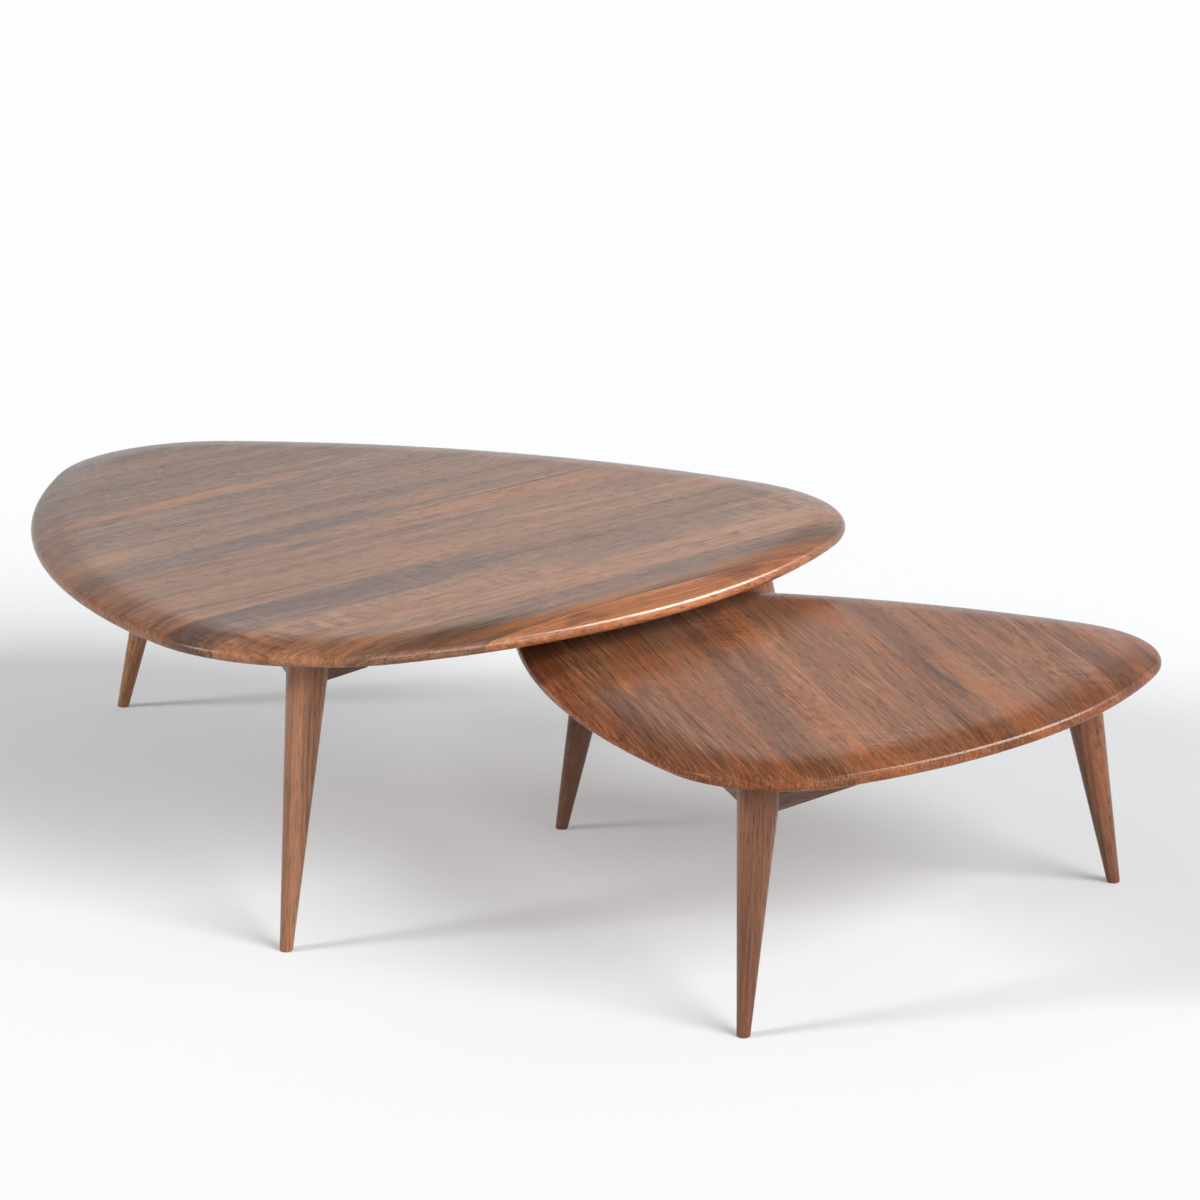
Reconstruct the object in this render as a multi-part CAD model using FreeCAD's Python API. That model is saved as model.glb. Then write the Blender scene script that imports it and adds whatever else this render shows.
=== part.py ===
import FreeCAD, Part
import math
import os

# Two rounded-triangle nesting tables in edge-glued walnut, millimetres, +Z up.
# The small table stands partly under the large one. +X runs along the pair, +Y to the back,
# and the origin is on the floor under the middle of the pair's bounding box.

# ---- heights and sections ----
LARGE_HEIGHT = 380.0
SMALL_HEIGHT = 326.0
TOP_THICKNESS = 24.0
NOSE_RADIUS = 8.0            # the rim's small round nose
ROLL_ANGLE = 15.0            # slope in degrees where the top's long roll-off meets the nose
RIM_BAND = 80.0              # width of the shaped rim around the flat middle

# ---- legs: round, straight-tapered and splayed ----
LEG_SPLAY = 0.265           # sideways run of the leg's axis for each unit of height
LEG_TOP_RADIUS = 27.0
LEG_FOOT_RADIUS = 8.0
FOOT_ROUND = 1.2

# ---- rails: one between each two legs, tenoned into them ----
RAIL_THICKNESS = 22.0
RAIL_DEPTH = 57.0
ENTRY_RAIL_DEPTH = 44.0      # the large table's rail that the small table passes under
ENTRY_RELIEF_DEPTH = 24.0    # what is left of that rail between its two ends
ENTRY_END_LENGTH = 92.0      # full-depth length at each end, from the leg's centre
ENTRY_RELIEF_SLOPE = 5.0     # run of the step at each end of the relief
TENON_THICKNESS = 9.0
TENON_TOP_GAP = 6.0          # rail above the tenon
TENON_BOTTOM_GAP = 8.0       # rail below the tenon
TENON_STOP = 10.0            # the tenon's end, from the leg's centre at the underside
TENON_START = 45.0           # where the tenon begins inside the rail

# ---- steel angle plates and screws that hold each top on its rails ----
PLATE_THICKNESS = 2.0
PLATE_WIDTH = 20.0
PLATE_FLANGE = 18.0
PLATE_SCREW_OFFSET = 10.0    # screw centre from the plate's corner
SCREW_RADIUS = 2.0
SCREW_LENGTH = 14.0
SCREW_HEAD_RADIUS = 4.0
SCREW_HEAD_HEIGHT = 2.4
SCREW_HEAD_ROUND = 1.0
PLATES_AT = (0.3, 0.7)       # places along each rail, as shares of its length

BIG = 2000.0                 # larger than either table, for cutting slabs

# ---- the two tables ----
# corners: centre and radius of each rounded corner, anticlockwise from the front one.
# sides: radius of the bowed side that follows each corner.
# legs: centre of each leg's top at the underside, and the way it splays, in degrees.
# staves: direction in degrees, reference point, first seam's offset and the widths between seams.
LARGE = {
    "name": "large",
    "height": LARGE_HEIGHT,
    "corners": [((-300.0, -113.0), 268.0), ((115.0, 256.5), 239.5), ((-497.0, 472.5), 216.0)],
    "sides": [942.0, 1398.0, 1026.0],
    "legs": {
        "front": ((-320.5, -289.0), -107.4),
        "right": ((217.0, 358.0), 18.7),
        "left": ((-558.5, 583.5), 154.6),
    },
    "stave_angle": 45.0,
    "stave_centre": (-184.5, 153.5),
    "first_seam": -390.0,
    "stave_widths": [78, 65, 70, 82, 90, 55, 50, 60, 62, 78, 75, 75, 70, 60],
    "entry_rail": "right_rail",
}
SMALL = {
    "name": "small",
    "height": SMALL_HEIGHT,
    "corners": [((238.5, -530.5), 158.0), ((567.5, -181.5), 155.0), ((35.5, 2.0), 115.0)],
    "sides": [835.0, 1282.0, 1073.0],
    "legs": {
        "front": ((215.5, -587.5), -103.8),
        "right": ((619.0, -179.5), 41.1),
        "left": ((32.5, 23.5), 130.2),
    },
    "stave_angle": 107.0,
    "stave_centre": (321.5, -285.5),
    "first_seam": -360.0,
    "stave_widths": [58, 67, 53, 92, 52, 68, 80, 68, 62, 70],
    "entry_rail": None,
}
# each rail's name and the two legs that it joins
RAILS = {
    "right_rail": ("front", "right"),
    "back_rail": ("right", "left"),
    "left_rail": ("left", "front"),
}


def vec(x, y, z=0.0):
    return FreeCAD.Vector(x, y, z)


def polar(angle_deg, length=1.0):
    angle = math.radians(angle_deg)
    return vec(length * math.cos(angle), length * math.sin(angle))


def side_centre(centre_a, radius_a, centre_b, radius_b, side_radius):
    """Centre of the side arc that is tangent, from inside, to two corner arcs."""
    reach_a = side_radius - radius_a
    reach_b = side_radius - radius_b
    gap = centre_b - centre_a
    along = (reach_a ** 2 - reach_b ** 2 + gap.Length ** 2) / (2 * gap.Length)
    inward = math.sqrt(reach_a ** 2 - along ** 2)
    unit = gap / gap.Length
    return centre_a + unit * along + vec(-unit.y, unit.x) * inward


def arc(centre, radius, start, end):
    """Anticlockwise arc about centre between the directions of two unit vectors."""
    middle = start + end
    middle.normalize()
    return Part.Arc(centre + start * radius, centre + middle * radius, centre + end * radius)


def outline_arcs(table):
    """The rounded triangle as (centre, radius, start, end): corners and bowed sides, all tangent."""
    corners = [(vec(*centre), radius) for centre, radius in table["corners"]]
    count = len(corners)
    centres = []
    for i, side_radius in enumerate(table["sides"]):
        here, after = corners[i], corners[(i + 1) % count]
        centres.append(side_centre(here[0], here[1], after[0], after[1], side_radius))
    arcs = []
    for i, (centre, radius) in enumerate(corners):
        start = (centre - centres[i - 1]).normalize()
        turn = (centre - centres[i]).normalize()
        end = (corners[(i + 1) % count][0] - centres[i]).normalize()
        arcs.append((centre, radius, start, turn))
        arcs.append((centres[i], table["sides"][i], turn, end))
    return arcs


def outline_wire(table, inset=0.0):
    """The outline, or the same outline moved inwards."""
    pieces = [arc(c, radius - inset, start, end) for c, radius, start, end in outline_arcs(table)]
    return Part.Wire([piece.toShape() for piece in pieces])


def rim_face(centre, radius, outward):
    """Section of the rim in the upright plane through centre: flat, long roll-off, round nose."""
    def point(reach, depth):
        return centre + outward * reach - vec(0, 0, depth)

    slope = math.radians(ROLL_ANGLE)
    drop = TOP_THICKNESS - NOSE_RADIUS * (1 + math.cos(slope))
    roll_radius = drop / (1 - math.cos(slope))
    nose_centre = radius - NOSE_RADIUS
    roll_end = nose_centre + NOSE_RADIUS * math.sin(slope)
    roll_start = roll_end - roll_radius * math.sin(slope)
    nose_depth = TOP_THICKNESS - NOSE_RADIUS

    def on_roll(angle):
        return point(roll_start + roll_radius * math.sin(angle), roll_radius * (1 - math.cos(angle)))

    inner = radius - RIM_BAND
    flat_start, roll_top = point(inner, 0), point(roll_start, 0)
    nose_top, nose_tip = point(roll_end, drop), point(radius, nose_depth)
    nose_bottom, inner_bottom = point(nose_centre, TOP_THICKNESS), point(inner, TOP_THICKNESS)
    diagonal = NOSE_RADIUS * math.sqrt(0.5)
    upper_nose = point(nose_centre + diagonal, nose_depth - diagonal)
    lower_nose = point(nose_centre + diagonal, nose_depth + diagonal)
    edges = [
        Part.LineSegment(flat_start, roll_top),
        Part.Arc(roll_top, on_roll(slope / 2), nose_top),
        Part.Arc(nose_top, upper_nose, nose_tip),
        Part.Arc(nose_tip, lower_nose, nose_bottom),
        Part.LineSegment(nose_bottom, inner_bottom),
        Part.LineSegment(inner_bottom, flat_start),
    ]
    return Part.Face(Part.Wire([edge.toShape() for edge in edges]))


def make_top(table):
    """The whole tabletop before it is divided into staves: a flat core and a rim turned about
    each arc's centre."""
    core = Part.Face(outline_wire(table, RIM_BAND)).extrude(vec(0, 0, -TOP_THICKNESS))
    rims = []
    for centre, radius, start, end in outline_arcs(table):
        turn = math.degrees(start.getAngle(end))
        rims.append(rim_face(centre, radius, start).revolve(centre, vec(0, 0, 1), turn))
    top = core.multiFuse(rims).removeSplitter().Solids[0]
    top.translate(vec(0, 0, table["height"]))
    return top


def make_staves(table, top):
    """Edge-glued boards: the top divided by parallel seam planes."""
    seams = [table["first_seam"]]
    for width in table["stave_widths"]:
        seams.append(seams[-1] + width)
    limits = [-BIG / 2] + seams + [BIG / 2]
    centre = vec(*table["stave_centre"])
    staves = []
    for low, high in zip(limits, limits[1:]):
        slab = Part.makeBox(BIG, high - low, BIG, vec(-BIG / 2, low, 0))
        slab.rotate(vec(0, 0), vec(0, 0, 1), table["stave_angle"])
        slab.translate(centre)
        staves.append(top.common(slab).Solids[0])
    return staves


def underside(table):
    return table["height"] - TOP_THICKNESS


def make_leg_blank(table, leg):
    """A tapered round leg on its splayed axis, cut level at the floor and at the underside."""
    (x, y), angle = table["legs"][leg]
    height = underside(table)
    taper = (LEG_TOP_RADIUS - LEG_FOOT_RADIUS) / height
    spare = LEG_TOP_RADIUS
    axis = vec(0, 0, 1) - polar(angle, LEG_SPLAY)
    lowest = vec(x, y, height) - axis * (height + spare)
    length = axis.Length * (height + 2 * spare)
    foot = LEG_FOOT_RADIUS - taper * spare
    head = LEG_TOP_RADIUS + taper * spare
    cone = Part.makeCone(foot, head, length, lowest, axis)
    slab = Part.makeBox(BIG, BIG, height, vec(x - BIG / 2, y - BIG / 2, 0))
    leg_solid = cone.common(slab).Solids[0]
    foot_edges = [e for e in leg_solid.Edges if e.BoundBox.ZMax < 0.1]
    return leg_solid.makeFillet(FOOT_ROUND, foot_edges)


def rail_frame(table, rail):
    """Start point, unit vector along, unit vector inwards and length of a rail's centre line."""
    start_leg, end_leg = RAILS[rail]
    start = vec(*table["legs"][start_leg][0])
    end = vec(*table["legs"][end_leg][0])
    along = end - start
    length = along.Length
    along.normalize()
    inward = vec(-along.y, along.x)
    return start, along, inward, length


def prism(start, along, inward, profile, thickness):
    """A plate of that thickness, centred on the rail's line, from (distance, height) points."""
    points = [start + along * s + vec(0, 0, z) - inward * (thickness / 2) for s, z in profile]
    return Part.Face(Part.makePolygon(points + points[:1])).extrude(inward * thickness)


def rail_profile(table, rail, length):
    """The rail's side view. The entry rail is relieved between its ends."""
    top = underside(table)
    if rail != table["entry_rail"]:
        return [(0, top), (length, top), (length, top - RAIL_DEPTH), (0, top - RAIL_DEPTH)]
    low = top - ENTRY_RAIL_DEPTH
    relief = top - ENTRY_RELIEF_DEPTH
    step = ENTRY_END_LENGTH + ENTRY_RELIEF_SLOPE
    return [
        (0, top), (length, top), (length, low), (length - ENTRY_END_LENGTH, low),
        (length - step, relief), (step, relief), (ENTRY_END_LENGTH, low), (0, low),
    ]


def mitre_block(table, rail, leg):
    """Everything past the upright plane that halves the angle between a leg's two rails."""
    centre = vec(*table["legs"][leg][0])
    far, = (vec(*table["legs"][name][0]) for name in RAILS[rail] if name != leg)
    other, = (vec(*place) for name, (place, _) in table["legs"].items() if name not in RAILS[rail])
    away = (other - centre).normalize() - (far - centre).normalize()
    block = Part.makeBox(BIG, BIG, BIG, vec(0, -BIG / 2))
    block.rotate(vec(0, 0), vec(0, 0, 1), math.degrees(math.atan2(away.y, away.x)))
    block.translate(centre)
    return block


def make_rail(table, rail, leg_blanks):
    """A rail coped to its two round legs, with a tenon at each end, mitred to its neighbours.
    Returns it and its tenons."""
    start, along, inward, length = rail_frame(table, rail)
    mitres = [mitre_block(table, rail, leg) for leg in RAILS[rail]]
    body = prism(start, along, inward, rail_profile(table, rail, length), RAIL_THICKNESS)
    for leg in RAILS[rail]:
        body = body.cut(leg_blanks[leg])
    body = max(body.Solids, key=lambda solid: solid.Volume)
    depth = ENTRY_RAIL_DEPTH if rail == table["entry_rail"] else RAIL_DEPTH
    high = underside(table) - TENON_TOP_GAP
    low = underside(table) - depth + TENON_BOTTOM_GAP
    tenons = []
    for near, far in ((TENON_STOP, TENON_START), (length - TENON_START, length - TENON_STOP)):
        profile = [(near, high), (far, high), (far, low), (near, low)]
        tenons.append(prism(start, along, inward, profile, TENON_THICKNESS).cut(mitres))
    body = body.multiFuse(tenons).cut(mitres)
    return body.removeSplitter().Solids[0], tenons


def make_screw(seat, direction):
    """Round-headed screw: seat is the plate's outer face, direction runs into the wood."""
    shank = Part.makeCylinder(SCREW_RADIUS, SCREW_LENGTH, seat, direction)
    head = Part.makeCylinder(SCREW_HEAD_RADIUS, SCREW_HEAD_HEIGHT, seat, direction * -1)
    crown = seat - direction * SCREW_HEAD_HEIGHT
    rim = [e for e in head.Edges if (e.CenterOfMass - crown).Length < 0.1]
    return shank.fuse(head.makeFillet(SCREW_HEAD_ROUND, rim)).removeSplitter().Solids[0]


def make_fixings(table):
    """Angle plates inside the rails, one screw of each up into the top and one into the rail."""
    plates, screws = [], []
    level = underside(table)
    up = vec(0, 0, 1)
    for rail in RAILS:
        start, along, inward, length = rail_frame(table, rail)
        for share in PLATES_AT:
            corner = start + along * (share * length) + inward * (RAIL_THICKNESS / 2)
            corner.z = level
            angle_shape = [
                (0, 0), (PLATE_FLANGE, 0), (PLATE_FLANGE, -PLATE_THICKNESS),
                (PLATE_THICKNESS, -PLATE_THICKNESS), (PLATE_THICKNESS, -PLATE_FLANGE),
                (0, -PLATE_FLANGE),
            ]
            base = corner - along * (PLATE_WIDTH / 2)
            points = [base + inward * run + up * rise for run, rise in angle_shape]
            plate = Part.Face(Part.makePolygon(points + points[:1])).extrude(along * PLATE_WIDTH)
            pair = [
                make_screw(corner + inward * PLATE_SCREW_OFFSET - up * PLATE_THICKNESS, up),
                make_screw(corner - up * PLATE_SCREW_OFFSET + inward * PLATE_THICKNESS, inward * -1),
            ]
            plates.append(plate.cut(pair).Solids[0])
            screws += pair
    return plates, screws


def make_table(table):
    """All pieces of one table as a dictionary from node name to shape."""
    name = table["name"]
    pieces = {}
    plates, screws = make_fixings(table)
    blanks = {leg: make_leg_blank(table, leg) for leg in table["legs"]}
    mortises = {leg: [] for leg in table["legs"]}
    for rail, joined in RAILS.items():
        solid, tenons = make_rail(table, rail, blanks)
        for leg, tenon in zip(joined, tenons):
            mortises[leg].append(tenon)
        pieces[f"{name}_{rail}"] = solid.cut(screws)
    for leg, blank in blanks.items():
        pieces[f"{name}_{leg}_leg"] = blank.cut(mortises[leg])
    for number, stave in enumerate(make_staves(table, make_top(table)), 1):
        pieces[f"{name}_stave_{number:02d}"] = stave.cut(screws)
    pieces[f"{name}_top_plates"] = Part.makeCompound(plates)
    pieces[f"{name}_top_screws"] = Part.makeCompound(screws)
    return pieces


def centre_shift(tables):
    """Moves the middle of both outlines' bounding box onto the Z axis."""
    bounds = FreeCAD.BoundBox()
    for table in tables:
        bounds.add(Part.Face(outline_wire(table)).optimalBoundingBox(False))
    return vec(-bounds.Center.x, -bounds.Center.y)


def main():
    os.makedirs("parts", exist_ok=True)
    tables = (LARGE, SMALL)
    shift = centre_shift(tables)
    for table in tables:
        for node, shape in make_table(table).items():
            shape.translate(shift)
            shape.exportStep(f"parts/{node}.step")


main()
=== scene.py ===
import math

import bmesh
import bpy
import numpy as np
from mathutils import Matrix, Vector


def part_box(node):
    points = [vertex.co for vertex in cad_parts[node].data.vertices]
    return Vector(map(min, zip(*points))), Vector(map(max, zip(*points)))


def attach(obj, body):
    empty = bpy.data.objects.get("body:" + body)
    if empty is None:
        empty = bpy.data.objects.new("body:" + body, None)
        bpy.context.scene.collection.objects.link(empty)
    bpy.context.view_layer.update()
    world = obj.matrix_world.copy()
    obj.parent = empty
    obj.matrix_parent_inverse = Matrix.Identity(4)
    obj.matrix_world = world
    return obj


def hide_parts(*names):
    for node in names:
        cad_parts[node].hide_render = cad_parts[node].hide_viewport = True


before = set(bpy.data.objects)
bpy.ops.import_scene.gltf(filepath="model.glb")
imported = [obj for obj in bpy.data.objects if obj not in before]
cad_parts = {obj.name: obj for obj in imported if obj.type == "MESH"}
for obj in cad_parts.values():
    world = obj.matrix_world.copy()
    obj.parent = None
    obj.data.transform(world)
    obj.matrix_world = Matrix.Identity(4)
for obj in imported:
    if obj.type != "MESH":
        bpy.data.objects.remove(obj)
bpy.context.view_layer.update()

# ---- driving dimensions, in metres ----
NOSE_RADIUS = 0.008          # round nose at the edge of each top
ROLL_ANGLE = math.radians(15)  # slope of the long roll-off where it meets the nose
OUTLINE_STEP = 0.004         # spacing of the points around a top's outline
ROLL_SEGMENTS = 14
NOSE_SEGMENTS = 12           # over each quarter of the nose
GRAIN_ANGLE = {"large": math.radians(45), "small": math.radians(107)}
RIM_PAINTED_SHADE = (0.80, 0.72, 0.66, 1.0)  # painted shade, darker and redder on the rounded rim
SHEEN = {"large": 1.28, "small": 1.16}  # refractive index of the oil finish

# ---- wood ----
RINGS_PER_METRE = 230.0      # growth rings, outwards from the pith
BANDS_PER_METRE = 46.0       # broad colour bands over them
WIGGLE = 0.004               # how far the rings waver
PORE_DEPTH = 0.0003
STREAK_HEIGHT = 0.25         # streaks are four times as tall as they are wide

# ---- camera ----
CAMERA_PLACE = (0.0314, -5.7636, 1.9730)
CAMERA_PITCH = math.radians(15.88)
CAMERA_LENS = 141.7
CAMERA_SENSOR = 36.0

# ---- studio ----
SKY_LOW = 1.05               # brightness of the white surroundings near the floor
SKY_HIGH = 0.22              # and of what is overhead
FLOOR_SHADE = 0.72
FLOOR_GLOW = 0.13            # painted fill light: the floor glows by this much to lift the shadows on it


def linear(red, green, blue):
    """A display colour, 0 to 255 a channel, as a linear one."""
    def channel(value):
        share = value / 255
        return share / 12.92 if share <= 0.04045 else ((share + 0.055) / 1.055) ** 2.4
    return (channel(red), channel(green), channel(blue), 1.0)


# ---------------------------------------------------------------- node helpers
class Tree:
    """A node tree and short ways of adding to it."""

    def __init__(self, tree):
        self.tree = tree

    def add(self, kind, **settings):
        node = self.tree.nodes.new(kind)
        for name, value in settings.items():
            setattr(node, name, value)
        return node

    def put(self, value, socket):
        """Links a socket, or sets a constant."""
        if isinstance(value, bpy.types.NodeSocket):
            self.tree.links.new(value, socket)
        elif value is not None:
            socket.default_value = value

    def math(self, operation, *values, clamp=False):
        node = self.add("ShaderNodeMath", operation=operation, use_clamp=clamp)
        for value, socket in zip(values, node.inputs):
            self.put(value, socket)
        return node.outputs[0]

    def vector(self, operation, *values):
        node = self.add("ShaderNodeVectorMath", operation=operation)
        for value, socket in zip(values, node.inputs):
            self.put(value, socket)
        return node.outputs[1 if operation in ("LENGTH", "DOT_PRODUCT") else 0]

    def split(self, vector):
        node = self.add("ShaderNodeSeparateXYZ")
        self.put(vector, node.inputs[0])
        return node.outputs

    def join(self, x, y, z):
        node = self.add("ShaderNodeCombineXYZ")
        for value, socket in zip((x, y, z), node.inputs):
            self.put(value, socket)
        return node.outputs[0]

    def noise(self, vector, detail=2.0, roughness=0.5, distortion=0.0):
        node = self.add("ShaderNodeTexNoise")
        self.put(vector, node.inputs["Vector"])
        node.inputs["Scale"].default_value = 1.0
        node.inputs["Detail"].default_value = detail
        node.inputs["Roughness"].default_value = roughness
        node.inputs["Distortion"].default_value = distortion
        return node.outputs

    def line_noise(self, value, detail=2.0, roughness=0.5):
        node = self.add("ShaderNodeTexNoise", noise_dimensions="1D")
        self.put(value, node.inputs["W"])
        node.inputs["Scale"].default_value = 1.0
        node.inputs["Detail"].default_value = detail
        node.inputs["Roughness"].default_value = roughness
        return node.outputs["Fac"]

    def remap(self, value, low, high, to_low=0.0, to_high=1.0, smooth=True):
        node = self.add("ShaderNodeMapRange")
        node.interpolation_type = "SMOOTHSTEP" if smooth else "LINEAR"
        for item, socket in zip((value, low, high, to_low, to_high), node.inputs):
            self.put(item, socket)
        return node.outputs[0]

    def mix(self, share, first, second, blend="MIX"):
        node = self.add("ShaderNodeMix", data_type="RGBA", blend_type=blend)
        self.put(share, node.inputs[0])
        self.put(first, node.inputs[6])
        self.put(second, node.inputs[7])
        return node.outputs[2]


# ---------------------------------------------------------------- wood
def make_walnut_group():
    """Solid walnut in board coordinates: x runs along the grain, y across it, in metres.
    Growth rings are shells round a pith line, so faces cut at a slant show cathedrals."""
    group = bpy.data.node_groups.new("walnut", "ShaderNodeTree")
    inputs = [
        ("Place", "NodeSocketVector"), ("Seed", "NodeSocketFloat"), ("Pith", "NodeSocketVector"),
        ("Tilt", "NodeSocketVector"), ("Dark", "NodeSocketColor"), ("Light", "NodeSocketColor"),
        ("Warm", "NodeSocketColor"), ("Rings", "NodeSocketFloat"), ("Bands", "NodeSocketFloat"),
        ("Figure", "NodeSocketFloat"), ("Wander", "NodeSocketFloat"), ("Fibre", "NodeSocketFloat"),
    ]
    for name, kind in inputs:
        group.interface.new_socket(name=name, in_out="INPUT", socket_type=kind)
    outputs = [("Color", "NodeSocketColor"), ("Height", "NodeSocketFloat"), ("Rough", "NodeSocketFloat")]
    for name, kind in outputs:
        group.interface.new_socket(name=name, in_out="OUTPUT", socket_type=kind)
    t = Tree(group)
    given = t.add("NodeGroupInput").outputs
    place, seed = given["Place"], given["Seed"]
    shift = t.join(*(t.math("MULTIPLY", seed, step) for step in (17.31, 9.13, 5.77)))

    def stretched(along, across, **options):
        scaled = t.vector("MULTIPLY", place, (along, across, across * STREAK_HEIGHT))
        return t.noise(t.vector("ADD", scaled, shift), **options)

    x, y, z = t.split(place)
    wander = t.split(t.vector("SUBTRACT", stretched(1.6, 5.0, detail=1.0)["Color"], (0.5, 0.5, 0.5)))
    wiggle = t.split(t.vector("SUBTRACT", stretched(11.0, 28.0, detail=2.0)["Color"], (0.5, 0.5, 0.5)))
    pith, tilt = t.split(given["Pith"]), t.split(given["Tilt"])

    def from_pith(value, axis):
        leaned = t.math("SUBTRACT", value, t.math("MULTIPLY", x, tilt[axis]))
        moved = t.math("SUBTRACT", leaned, pith[axis])
        wandered = t.math("MULTIPLY_ADD", wander[axis], given["Wander"], moved)
        return t.math("MULTIPLY_ADD", wiggle[axis], WIGGLE, wandered)

    radius = t.vector("LENGTH", t.join(from_pith(y, 1), from_pith(z, 2), 0.0))
    ring_place = t.math("MULTIPLY_ADD", radius, RINGS_PER_METRE, t.math("MULTIPLY", seed, 31.7))
    band_place = t.math("MULTIPLY_ADD", radius, BANDS_PER_METRE, t.math("MULTIPLY", seed, 3.9))
    rings = t.math("SUBTRACT", t.line_noise(ring_place, detail=3.0, roughness=0.65), 0.5)
    bands = t.math("SUBTRACT", t.line_noise(band_place, detail=1.0), 0.5)

    fibre = t.math("SUBTRACT", stretched(5.0, 430.0, detail=3.0, roughness=0.85)["Fac"], 0.5)
    thread = t.math("SUBTRACT", stretched(22.0, 1500.0, detail=2.0)["Fac"], 0.5)
    broad = t.math("SUBTRACT", stretched(3.0, 13.0, detail=2.0)["Fac"], 0.5)
    pores = t.remap(stretched(45.0, 1100.0, detail=1.0)["Fac"], 0.57, 0.68)

    curl_mask = t.remap(stretched(5.0, 9.0, detail=1.0)["Fac"], 0.46, 0.66)
    curl_place = t.vector("ADD", t.vector("MULTIPLY", place, (95.0, 22.0, 22.0)), shift)
    curl = t.math("SUBTRACT", t.noise(curl_place, detail=1.0, distortion=0.6)["Fac"], 0.5)
    figure = t.math("MULTIPLY", t.math("MULTIPLY", curl, curl_mask), given["Figure"])

    tone = t.math("MULTIPLY_ADD", rings, given["Rings"], 0.5)
    tone = t.math("MULTIPLY_ADD", bands, given["Bands"], tone)
    tone = t.math("MULTIPLY_ADD", fibre, t.math("MULTIPLY", given["Fibre"], 2.1), tone)
    tone = t.math("MULTIPLY_ADD", thread, t.math("MULTIPLY", given["Fibre"], 1.1), tone)
    tone = t.math("MULTIPLY_ADD", broad, 0.7, tone)
    tone = t.math("ADD", tone, figure, clamp=True)

    colour = t.mix(tone, given["Dark"], given["Light"])
    hue = stretched(2.4, 24.0, detail=2.0)["Fac"]
    colour = t.mix(t.remap(hue, 0.44, 0.72, 0.0, 0.75), colour, given["Warm"], "MULTIPLY")
    silver = t.remap(stretched(9.0, 620.0, detail=1.0)["Fac"], 0.60, 0.72)
    silver = t.math("MULTIPLY", silver, t.math("MULTIPLY_ADD", given["Fibre"], 0.4, -0.2))
    colour = t.mix(silver, colour, linear(214, 178, 144))
    colour = t.mix(t.math("MULTIPLY", pores, 0.55), colour, linear(34, 22, 16))

    out = t.add("NodeGroupOutput").inputs
    t.put(colour, out["Color"])
    height = t.math("MULTIPLY_ADD", thread, 0.5, t.math("MULTIPLY", pores, -1.0))
    t.put(height, out["Height"])
    t.put(t.math("MULTIPLY_ADD", fibre, 0.16, t.math("MULTIPLY_ADD", pores, 0.14, 0.25)), out["Rough"])
    return group


WALNUT = make_walnut_group()


def wood_colours(tone, warmth):
    """Dark, light and warming colours of a board. tone runs from dark 0 to light 1, and warmth
    from grey-brown 0 to orange 1."""
    def blend(cool, warm):
        return [c + (w - c) * warmth for c, w in zip(cool, warm)]
    low = blend((62, 52, 46), (78, 43, 29))
    high = blend((160, 135, 116), (204, 136, 94))
    spread = 0.30
    dark = [a + (b - a) * max(0.0, tone - spread) for a, b in zip(low, high)]
    light = [a + (b - a) * (tone + spread) for a, b in zip(low, high)]
    warm = (1.0, 1.0 - 0.16 * (0.4 + warmth), 1.0 - 0.30 * (0.4 + warmth), 1.0)
    return linear(*dark), linear(*light), warm


def walnut_material(name, origin, angle, seed, tone, warmth, pith=(0, 0.05, -0.09), tilt=(0, 0.02, 0.05),
                    rings=0.8, bands=0.7, figure=0.5, wander=0.03, fibre=1.0, sheen=1.33, middle=None,
                    marks=(), tip=None):
    """Wood for one piece. origin and angle set its own axes; tip, if given, is its direction in
    space instead. middle is given for a board of a top: marks, which are local streaks, knots and
    patches, are placed from it, and the rim is darkened with painted shade."""
    material = bpy.data.materials.new(name)
    material.use_nodes = True
    t = Tree(material.node_tree)
    shader = material.node_tree.nodes["Principled BSDF"]
    place = t.add("ShaderNodeTexCoord").outputs["Object"]
    place = t.vector("SUBTRACT", place, tuple(origin))
    turn = t.add("ShaderNodeVectorRotate", rotation_type="EULER_XYZ", invert=True)
    t.put(place, turn.inputs["Vector"])
    if tip is None:
        turn.inputs["Rotation"].default_value = (0, 0, angle)
    else:
        turn.inputs["Rotation"].default_value = Vector(tip).to_track_quat("X", "Z").to_euler()
    place = turn.outputs[0]
    dark, light, warm = wood_colours(tone, warmth)
    wood = t.add("ShaderNodeGroup")
    wood.node_tree = WALNUT
    t.put(place, wood.inputs["Place"])
    settings = {"Seed": seed, "Pith": pith, "Tilt": tilt, "Dark": dark, "Light": light, "Warm": warm,
                "Rings": rings, "Bands": bands, "Figure": figure, "Wander": wander, "Fibre": fibre}
    for socket, value in settings.items():
        wood.inputs[socket].default_value = value
    colour = wood.outputs["Color"]
    if middle is not None:
        shift = Vector(origin) - Vector(middle)
        shift.rotate(Matrix.Rotation(-angle, 3, "Z"))
        table_place = t.vector("ADD", place, tuple(shift))
        for mark in marks:
            colour = add_mark(t, colour, table_place, seed, **mark)
        # painted shade: the rounded rim below the flat top is darkened and reddened
        depth = t.split(place)[2]
        rim = t.remap(depth, -0.0001, -0.0022)
        colour = t.mix(rim, colour, RIM_PAINTED_SHADE, "MULTIPLY")
    t.put(colour, shader.inputs["Base Color"])
    t.put(wood.outputs["Rough"], shader.inputs["Roughness"])
    bump = t.add("ShaderNodeBump")
    bump.inputs["Strength"].default_value = 0.12
    bump.inputs["Distance"].default_value = PORE_DEPTH
    t.put(wood.outputs["Height"], bump.inputs["Height"])
    t.put(bump.outputs[0], shader.inputs["Normal"])
    shader.inputs["IOR"].default_value = sheen
    return material


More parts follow.
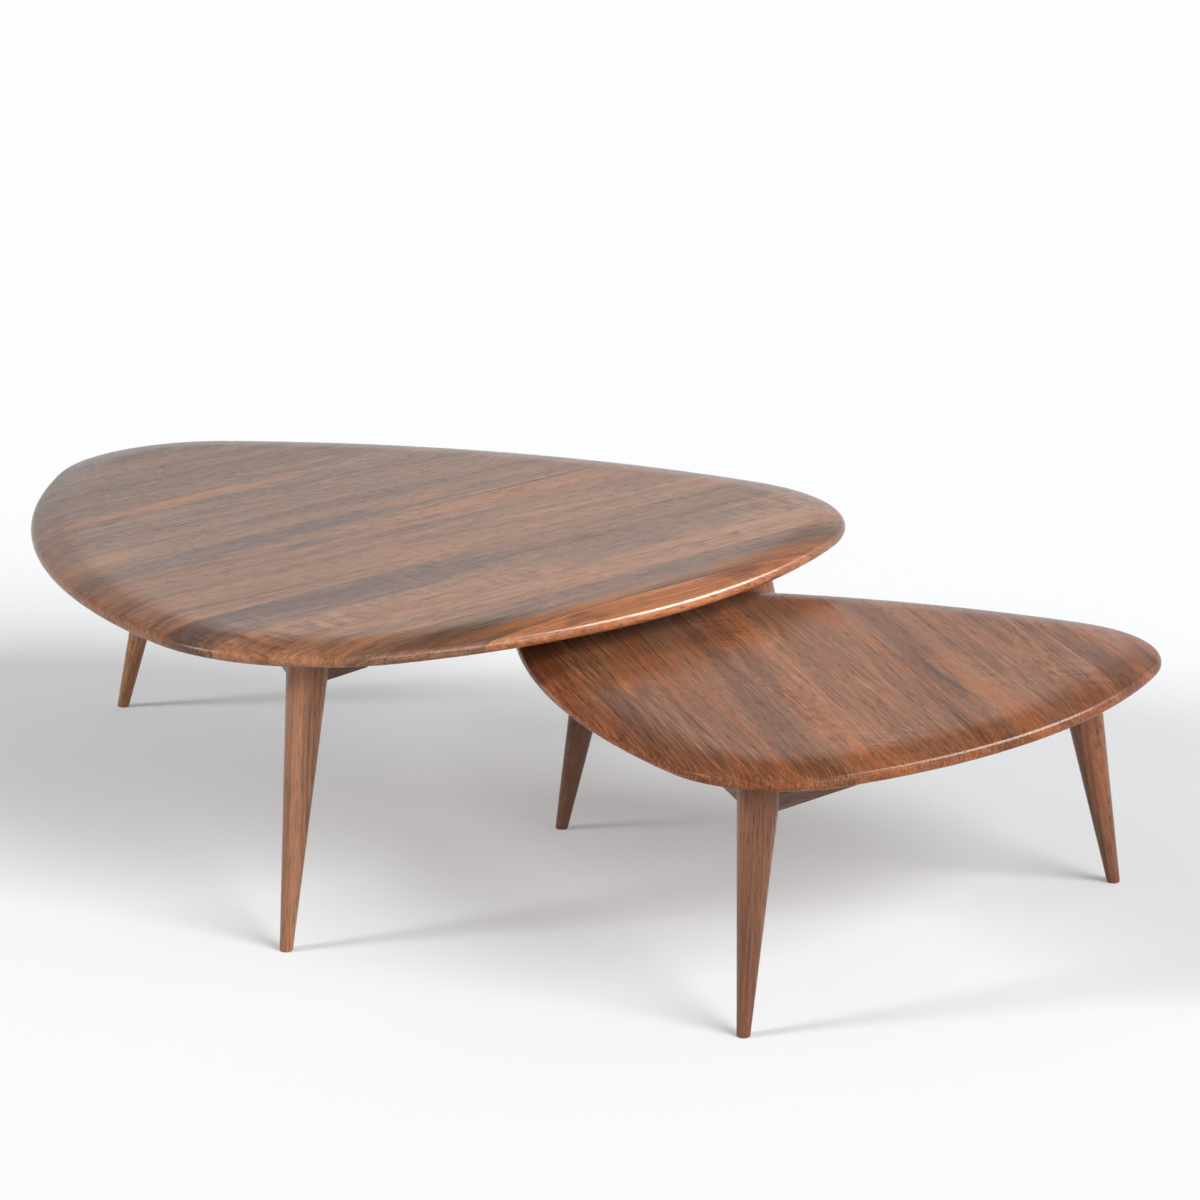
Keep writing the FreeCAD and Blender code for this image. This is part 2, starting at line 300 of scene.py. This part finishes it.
def add_mark(t, colour, place, seed, at, size, shade, strength=0.8, bend=0.0, soft=0.6):
    """Mixes shade over an oval of the board: at and size are along and across the grain."""
    x, y, _ = t.split(place)
    warp_place = t.vector("MULTIPLY_ADD", place, (9.0, 40.0, 40.0), (seed, seed, seed))
    warp = t.math("SUBTRACT", t.noise(warp_place, detail=2.0)["Fac"], 0.5)
    along = t.math("DIVIDE", t.math("SUBTRACT", x, at[0]), size[0])
    centre = t.math("MULTIPLY_ADD", t.math("MULTIPLY", along, along), bend, at[1])
    across = t.math("DIVIDE", t.math("SUBTRACT", y, centre), size[1])
    across = t.math("MULTIPLY_ADD", warp, 1.6, across)
    reach = t.vector("LENGTH", t.join(along, across, 0.0))
    mask = t.remap(reach, 1.0 + soft, 1.0 - soft)
    streaks = t.noise(t.vector("MULTIPLY", place, (7.0, 260.0, 260.0)), detail=2.0)["Fac"]
    mask = t.math("MULTIPLY", mask, t.remap(streaks, 0.38, 0.58, 0.35, 1.0))
    return t.mix(t.math("MULTIPLY", mask, strength), colour, linear(*shade), "MIX")


# ---------------------------------------------------------------- tabletops
def stave_names(table):
    return sorted(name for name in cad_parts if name.startswith(f"{table}_stave_"))


def node_points(name):
    return np.array([v.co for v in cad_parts[name].data.vertices], float)


def top_outline(table):
    """Points and outward directions around the widest line of a tabletop, evenly spaced."""
    points = np.vstack([node_points(name) for name in stave_names(table)])
    level = points[:, 2].min() + NOSE_RADIUS
    tip = points[np.abs(points[:, 2] - level) < 1e-4][:, :2]
    middle = (tip.min(axis=0) + tip.max(axis=0)) / 2
    # seam faces have inner points at this height too, so only points on the hull are kept
    order = np.argsort(np.arctan2(*(tip - middle).T[::-1]))
    ring = hull(tip[order])
    step = np.linalg.norm(np.roll(ring, -1, axis=0) - ring, axis=1)
    knots = np.concatenate([[0.0], np.cumsum(step)])
    count = int(knots[-1] / OUTLINE_STEP)
    where = np.arange(count) * knots[-1] / count
    return smooth_ring(ring, knots, where)


def hull(points):
    """The convex outline of points, anticlockwise, with neighbours closer than 1 mm dropped."""
    ordered = sorted(map(tuple, points))

    def half(items):
        kept = []
        for item in items:
            while len(kept) > 1 and cross(kept[-2], kept[-1], item) <= 0:
                kept.pop()
            kept.append(item)
        return kept[:-1]

    ring = np.array(half(ordered) + half(ordered[::-1]))
    gap = np.linalg.norm(ring - np.roll(ring, 1, axis=0), axis=1)
    return ring[gap > 1e-3]


def cross(a, b, c):
    return (b[0] - a[0]) * (c[1] - a[1]) - (b[1] - a[1]) * (c[0] - a[0])


def smooth_ring(ring, knots, where):
    """Cubic through a closed ring of points, with each point's tangent from the circle through it
    and its neighbours. Returns points and outward normals."""
    before, after = np.roll(ring, 1, axis=0), np.roll(ring, -1, axis=0)
    back = np.linalg.norm(ring - before, axis=1)[:, None]
    ahead = np.linalg.norm(after - ring, axis=1)[:, None]
    slope = ((ring - before) / back * ahead + (after - ring) / ahead * back) / (back + ahead)
    slope /= np.linalg.norm(slope, axis=1)[:, None]
    index = np.clip(np.searchsorted(knots, where, side="right") - 1, 0, len(ring) - 1)
    span = (knots[index + 1] - knots[index])[:, None]
    s = (where - knots[index])[:, None] / span
    p0, p1 = ring[index], ring[(index + 1) % len(ring)]
    m0, m1 = slope[index] * span, slope[(index + 1) % len(ring)] * span
    point = ((2 * s**3 - 3 * s**2 + 1) * p0 + (s**3 - 2 * s**2 + s) * m0
             + (3 * s**2 - 2 * s**3) * p1 + (s**3 - s**2) * m1)
    tangent = ((6 * s**2 - 6 * s) * p0 + (3 * s**2 - 4 * s + 1) * m0
               + (6 * s - 6 * s**2) * p1 + (3 * s**2 - 2 * s) * m1)
    tangent /= np.linalg.norm(tangent, axis=1)[:, None]
    return point, np.stack([tangent[:, 1], -tangent[:, 0]], axis=1)


def rim_section(thickness):
    """The rim's section as (inset, depth, slope): the roll-off, then the nose to the underside."""
    drop = thickness - NOSE_RADIUS * (1 + math.cos(ROLL_ANGLE))
    roll_radius = drop / (1 - math.cos(ROLL_ANGLE))
    roll_start = NOSE_RADIUS * (1 - math.sin(ROLL_ANGLE)) + roll_radius * math.sin(ROLL_ANGLE)
    section = []
    for i in range(ROLL_SEGMENTS):
        slope = ROLL_ANGLE * i / ROLL_SEGMENTS
        inset = roll_start - roll_radius * math.sin(slope)
        section.append((inset, roll_radius * (1 - math.cos(slope)), slope))
    nose_angles = np.linspace(ROLL_ANGLE, math.pi, 2 * NOSE_SEGMENTS)
    for slope in nose_angles:
        inset = NOSE_RADIUS * (1 - math.sin(slope))
        section.append((inset, thickness - NOSE_RADIUS * (1 + math.cos(slope)), slope))
    return section


def top_mesh(table):
    """A whole tabletop as a bmesh, with each point's true surface normal in a layer."""
    low, high = (f(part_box(name)[side].z for name in stave_names(table)) for f, side in ((min, 0), (max, 1)))
    points, outward = top_outline(table)
    section = rim_section(high - low)
    mesh = bmesh.new()
    layer = mesh.verts.layers.float_vector.new("true_normal")
    rings = []
    for inset, depth, slope in section:
        ring = []
        for point, direction in zip(points, outward):
            x, y = point - direction * inset
            vert = mesh.verts.new((x, y, high - depth))
            flat = direction * math.sin(slope)
            vert[layer] = Vector((flat[0], flat[1], math.cos(slope)))
            ring.append(vert)
        rings.append(ring)
    count = len(points)
    for upper, lower in zip(rings, rings[1:]):
        for i in range(count):
            j = (i + 1) % count
            mesh.faces.new((upper[i], lower[i], lower[j], upper[j]))
    mesh.faces.new(rings[0])
    mesh.faces.new(rings[-1][::-1])
    return mesh


def cut_stave(whole, low, high, across):
    """The part of the whole top between two seam planes, closed along its seams."""
    stave = whole.copy()
    for offset, side in ((low, -1), (high, 1)):
        if offset is None:
            continue
        geometry = list(stave.verts) + list(stave.edges) + list(stave.faces)
        cut = bmesh.ops.bisect_plane(stave, geom=geometry, dist=1e-7, plane_co=across * offset,
                                     plane_no=across * side, clear_outer=True)
        edges = [item for item in cut["geom_cut"] if isinstance(item, bmesh.types.BMEdge)]
        bmesh.ops.holes_fill(stave, edges=edges, sides=0)
    return stave


def finish_stave(name, stave, across):
    """Turns a cut bmesh into an object shaded with its true normals."""
    bmesh.ops.recalc_face_normals(stave, faces=stave.faces)
    data = bpy.data.meshes.new(name)
    seam_faces = [abs(face.normal.dot(across)) > 0.9999 and len(face.verts) > 8 for face in stave.faces]
    layer = stave.verts.layers.float_vector["true_normal"]
    true_normals = [vert[layer].normalized() for vert in stave.verts]
    stave.to_mesh(data)
    stave.free()
    normals = []
    for polygon, seam in zip(data.polygons, seam_faces):
        for index in polygon.vertices:
            normals.append(polygon.normal.copy() if seam else true_normals[index])
    data.polygons.foreach_set("use_smooth", [True] * len(data.polygons))
    data.normals_split_custom_set(normals)
    data.attributes.remove(data.attributes["true_normal"])
    piece = bpy.data.objects.new(name, data)
    bpy.context.scene.collection.objects.link(piece)
    return piece


def build_top(table, boards):
    """All boards of one tabletop, each its own piece with its own wood."""
    angle = GRAIN_ANGLE[table]
    along = Vector((math.cos(angle), math.sin(angle), 0))
    across = Vector((-math.sin(angle), math.cos(angle), 0))
    names = stave_names(table)
    corners = [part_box(name) for name in names]
    lowest = [min(box[0][axis] for box in corners) for axis in range(3)]
    highest = [max(box[1][axis] for box in corners) for axis in range(3)]
    middle = (Vector(lowest) + Vector(highest)) / 2
    whole = top_mesh(table)
    for index, (name, board) in enumerate(zip(names, boards)):
        points = node_points(name)
        reach = points @ np.array(across)
        low, high = reach.min(), reach.max()
        ends = points @ np.array(along)
        first, last = index == 0, index == len(names) - 1
        stave = cut_stave(whole, None if first else low, None if last else high, across)
        piece = finish_stave(f"{name}_board", stave, across)
        centre = along * float(ends.min() + ends.max()) / 2 + across * float(low + high) / 2
        centre.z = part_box(name)[1].z
        seed = index + (3.3 if table == "large" else 57.7)
        piece.data.materials.append(walnut_material(
            f"{name}_walnut", centre, angle, seed, middle=middle, sheen=SHEEN[table], **board))
        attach(piece, f"{table}_table")
        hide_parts(name)
    whole.free()


ORANGE = (176, 112, 62)
TAN = (170, 132, 100)
DARK = (62, 46, 38)
BLUE_DARK = (78, 72, 72)
RED = (150, 84, 52)


def mark(x, y, length, width, shade, strength=0.8, bend=0.0, soft=0.6):
    """A local patch, millimetres from the table's middle: x along the grain, y across it."""
    return dict(at=(x / 1000, y / 1000), size=(length / 2000, width / 2000), shade=shade,
                strength=strength, bend=bend / 1000, soft=soft)


# Boards from the front edge to the back. Marks are along and across from the table's middle.
LARGE_BOARDS = [
    dict(tone=0.84, warmth=0.90, pith=(0, 0.02, -0.05), tilt=(0, 0.03, 0.04), marks=[
        mark(150, -398, 90, 22, DARK, 0.55, bend=6), mark(-130, -402, 60, 18, DARK, 0.5, bend=-8)]),
    dict(tone=0.45, warmth=0.47, pith=(0, -0.03, -0.03), tilt=(0, -0.06, 0.02), wander=0.05, marks=[
        mark(-260, -352, 190, 34, DARK, 0.8, bend=10), mark(220, -346, 420, 26, BLUE_DARK, 0.5, bend=10),
        mark(-120, -378, 330, 24, ORANGE, 0.75, bend=10), mark(300, -375, 360, 34, ORANGE, 0.8)]),
    dict(tone=0.67, warmth=0.56, bands=0.5),
    dict(tone=0.59, warmth=0.58, figure=1.4, marks=[
        mark(50, -212, 130, 60, (120, 92, 76), 0.6), mark(175, -212, 130, 56, BLUE_DARK, 0.5),
        mark(300, -205, 150, 40, (110, 92, 80), 0.5)]),
    dict(tone=0.48, warmth=0.53, figure=1.6, marks=[
        mark(-280, -136, 620, 96, BLUE_DARK, 0.62, soft=0.25), mark(130, -150, 60, 36, DARK, 0.35)]),
    dict(tone=0.56, warmth=0.61, bands=0.5, wander=0.015),
    dict(tone=0.53, warmth=0.57, wander=0.015),
    dict(tone=0.52, warmth=0.66, marks=[
        mark(-147, 78, 70, 30, BLUE_DARK, 0.8), mark(-165, 56, 40, 14, ORANGE, 0.5)]),
    dict(tone=0.48, warmth=0.53, marks=[
        mark(-240, 132, 620, 44, BLUE_DARK, 0.6, soft=0.3), mark(95, 142, 140, 26, ORANGE, 0.55),
        mark(260, 103, 330, 7, DARK, 0.7)]),
    dict(tone=0.46, warmth=0.48, marks=[mark(-400, 200, 150, 34, TAN, 0.35)]),
    dict(tone=0.45, warmth=0.45),
    dict(tone=0.44, warmth=0.45, marks=[mark(-140, 357, 430, 28, ORANGE, 0.6, soft=0.5)]),
    dict(tone=0.32, warmth=0.43),
    dict(tone=0.29, warmth=0.43),
    dict(tone=0.27, warmth=0.43),
    dict(tone=0.29, warmth=0.43),
]
# Boards from the right end to the left.
SMALL_BOARDS = [
    dict(tone=0.56, warmth=1.00, marks=[mark(-60, -385, 120, 30, DARK, 0.4)]),
    dict(tone=0.48, warmth=0.96, marks=[mark(-45, -333, 110, 30, DARK, 0.45)]),
    dict(tone=0.44, warmth=0.90, figure=1.2, wander=0.05),
    dict(tone=0.47, warmth=0.90),
    dict(tone=0.46, warmth=0.90, wander=0.05, marks=[
        mark(-170, -140, 230, 30, ORANGE, 0.3), mark(-30, -108, 230, 9, DARK, 0.75, bend=-14),
        mark(160, -102, 250, 22, BLUE_DARK, 0.4)]),
    dict(tone=0.46, warmth=0.99, marks=[
        mark(-226, -69, 60, 4, DARK, 0.9), mark(250, -62, 150, 30, RED, 0.7)]),
    dict(tone=0.47, warmth=0.90, wander=0.015),
    dict(tone=0.52, warmth=0.96, figure=1.0, marks=[mark(30, 92, 140, 26, (110, 84, 72), 0.5)]),
    dict(tone=0.43, warmth=0.79, wander=0.015),
    dict(tone=0.43, warmth=0.96, marks=[mark(-120, 232, 300, 3, DARK, 0.8)]),
    dict(tone=0.43, warmth=0.90, marks=[
        mark(8, 266, 74, 20, ORANGE, 0.75), mark(-16, 258, 44, 14, DARK, 0.6)]),
    dict(tone=0.39, warmth=0.90),
]

build_top("large", LARGE_BOARDS)
build_top("small", SMALL_BOARDS)


# ---------------------------------------------------------------- legs, rails and fixings
def end_centre(points, level):
    """Middle of a leg's outline at one of its level ends."""
    ring = points[np.abs(points[:, 2] - level) < 2e-4]
    return (ring.min(axis=0) + ring.max(axis=0)) / 2


def long_direction(points):
    """Horizontal direction of a rail, along its greatest spread."""
    flat = points[:, :2] - points[:, :2].mean(axis=0)
    _, vectors = np.linalg.eigh(flat.T @ flat)
    return Vector((*vectors[:, -1], 0.0))


def give(name, material):
    """Gives a CAD node its finish."""
    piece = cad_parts[name]
    piece.data.materials.clear()
    piece.data.materials.append(material)


# Each leg's tone is partly its own wood and partly painted light: the large table's left and right legs are
# painted lighter, as if lit from the side, and the small table's left leg is painted darker, as if in the
# shade under the large top.
LEG_WOOD_AND_PAINTED_LIGHT = {
    "large_front_leg": dict(tone=0.41, warmth=0.72, bands=1.2),
    "large_left_leg": dict(tone=0.59, warmth=0.72),
    "large_right_leg": dict(tone=0.51, warmth=0.72),
    "small_front_leg": dict(tone=0.25, warmth=0.82, bands=1.2),
    "small_left_leg": dict(tone=0.11, warmth=0.65),
    "small_right_leg": dict(tone=0.31, warmth=0.80),
}
for number, (name, look) in enumerate(LEG_WOOD_AND_PAINTED_LIGHT.items()):
    points = node_points(name)
    foot, head = end_centre(points, points[:, 2].min()), end_centre(points, points[:, 2].max())
    give(name, walnut_material(f"{name}_walnut", foot, 0, 91.3 + number, tip=head - foot, fibre=0.55,
                               pith=(0, 0.06, 0.03), tilt=(0, 0.03, 0.02), figure=0.2, **look))

for number, name in enumerate(sorted(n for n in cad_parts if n.endswith("_rail"))):
    points = node_points(name)
    give(name, walnut_material(f"{name}_walnut", points.mean(axis=0), 0, 131.9 + number, 0.12, 0.45,
                               tip=long_direction(points), fibre=0.6, figure=0.2))


def steel_material():
    material = bpy.data.materials.new("zinc_steel")
    material.use_nodes = True
    t = Tree(material.node_tree)
    shader = material.node_tree.nodes["Principled BSDF"]
    place = t.add("ShaderNodeTexCoord").outputs["Object"]
    grain = t.noise(t.vector("MULTIPLY", place, (900.0, 900.0, 120.0)), detail=3.0)["Fac"]
    cloud = t.noise(t.vector("MULTIPLY", place, (60.0, 60.0, 60.0)), detail=2.0)["Fac"]
    colour = t.mix(cloud, linear(176, 178, 182), linear(206, 206, 204))
    t.put(colour, shader.inputs["Base Color"])
    t.put(t.math("MULTIPLY_ADD", grain, 0.25, 0.24), shader.inputs["Roughness"])
    shader.inputs["Metallic"].default_value = 1.0
    return material


STEEL = steel_material()
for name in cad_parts:
    if name.endswith(("_plates", "_screws")):
        give(name, STEEL)


# ---------------------------------------------------------------- floor, light and camera
def add_floor():
    mesh = bpy.data.meshes.new("studio_floor")
    half = 60.0
    corners = [(-half, -half, 0), (half, -half, 0), (half, half, 0), (-half, half, 0)]
    mesh.from_pydata(corners, [], [(0, 1, 2, 3)])
    floor = bpy.data.objects.new("studio_floor", mesh)
    bpy.context.scene.collection.objects.link(floor)
    material = bpy.data.materials.new("pale_floor")
    material.use_nodes = True
    shader = material.node_tree.nodes["Principled BSDF"]
    t = Tree(material.node_tree)
    place = t.add("ShaderNodeTexCoord").outputs["Object"]
    cloud = t.noise(t.vector("MULTIPLY", place, (1.5, 1.5, 1.5)), detail=2.0)["Fac"]
    shades = []
    for step in (0, 0.01):
        red = FLOOR_SHADE + step
        shades.append((red, red + 0.006, red + 0.012, 1))
    t.put(t.mix(cloud, *shades), shader.inputs["Base Color"])
    # the floor's glow is painted fill light that lifts the shadows on it
    shader.inputs["Emission Color"].default_value = (0.98, 0.99, 1.0, 1)
    shader.inputs["Emission Strength"].default_value = FLOOR_GLOW
    shader.inputs["Roughness"].default_value = 0.9
    shader.inputs["Specular IOR Level"].default_value = 0.1
    mesh.materials.append(material)


def add_sun(name, towards, strength, spread, colour=(1.0, 1.0, 1.0), glossy_only=False):
    """A soft distant light. towards is the direction from the object to the light."""
    data = bpy.data.lights.new(name, "SUN")
    data.energy = strength
    data.angle = math.radians(spread)
    data.color = colour
    light = bpy.data.objects.new(name, data)
    light.rotation_euler = Vector(towards).to_track_quat("Z", "Y").to_euler()
    light.visible_diffuse = not glossy_only
    bpy.context.scene.collection.objects.link(light)


def compass(azimuth, elevation):
    """Unit vector at an azimuth, anticlockwise from +X, and an elevation, in degrees."""
    a, e = math.radians(azimuth), math.radians(elevation)
    return (math.cos(a) * math.cos(e), math.sin(a) * math.cos(e), math.sin(e))


def add_world():
    world = bpy.data.worlds.new("studio")
    bpy.context.scene.world = world
    world.use_nodes = True
    t = Tree(world.node_tree)
    height = t.split(t.add("ShaderNodeTexCoord").outputs["Generated"])[2]
    background = world.node_tree.nodes["Background"]
    background.inputs["Color"].default_value = (0.985, 0.99, 1.0, 1)
    t.put(t.remap(height, 0.27, 0.45, SKY_LOW, SKY_HIGH), background.inputs["Strength"])


def add_camera():
    data = bpy.data.cameras.new("camera")
    data.lens = CAMERA_LENS
    data.sensor_width = CAMERA_SENSOR
    data.clip_end = 200.0
    camera = bpy.data.objects.new("camera", data)
    camera.location = CAMERA_PLACE
    camera.rotation_euler = (math.pi / 2 - CAMERA_PITCH, 0, 0)
    bpy.context.scene.collection.objects.link(camera)
    bpy.context.scene.camera = camera


add_floor()
add_world()
add_sun("key", compass(-42, 32), 3.3, 40, (0.985, 0.995, 1.0))
add_sun("side", compass(195, 27), 1.9, 16, (0.985, 0.995, 1.0))
add_sun("rim", compass(26, 43), 9.0, 30, (1.0, 0.985, 0.95), glossy_only=True)
add_camera()
bpy.context.scene.view_settings.view_transform = "Standard"
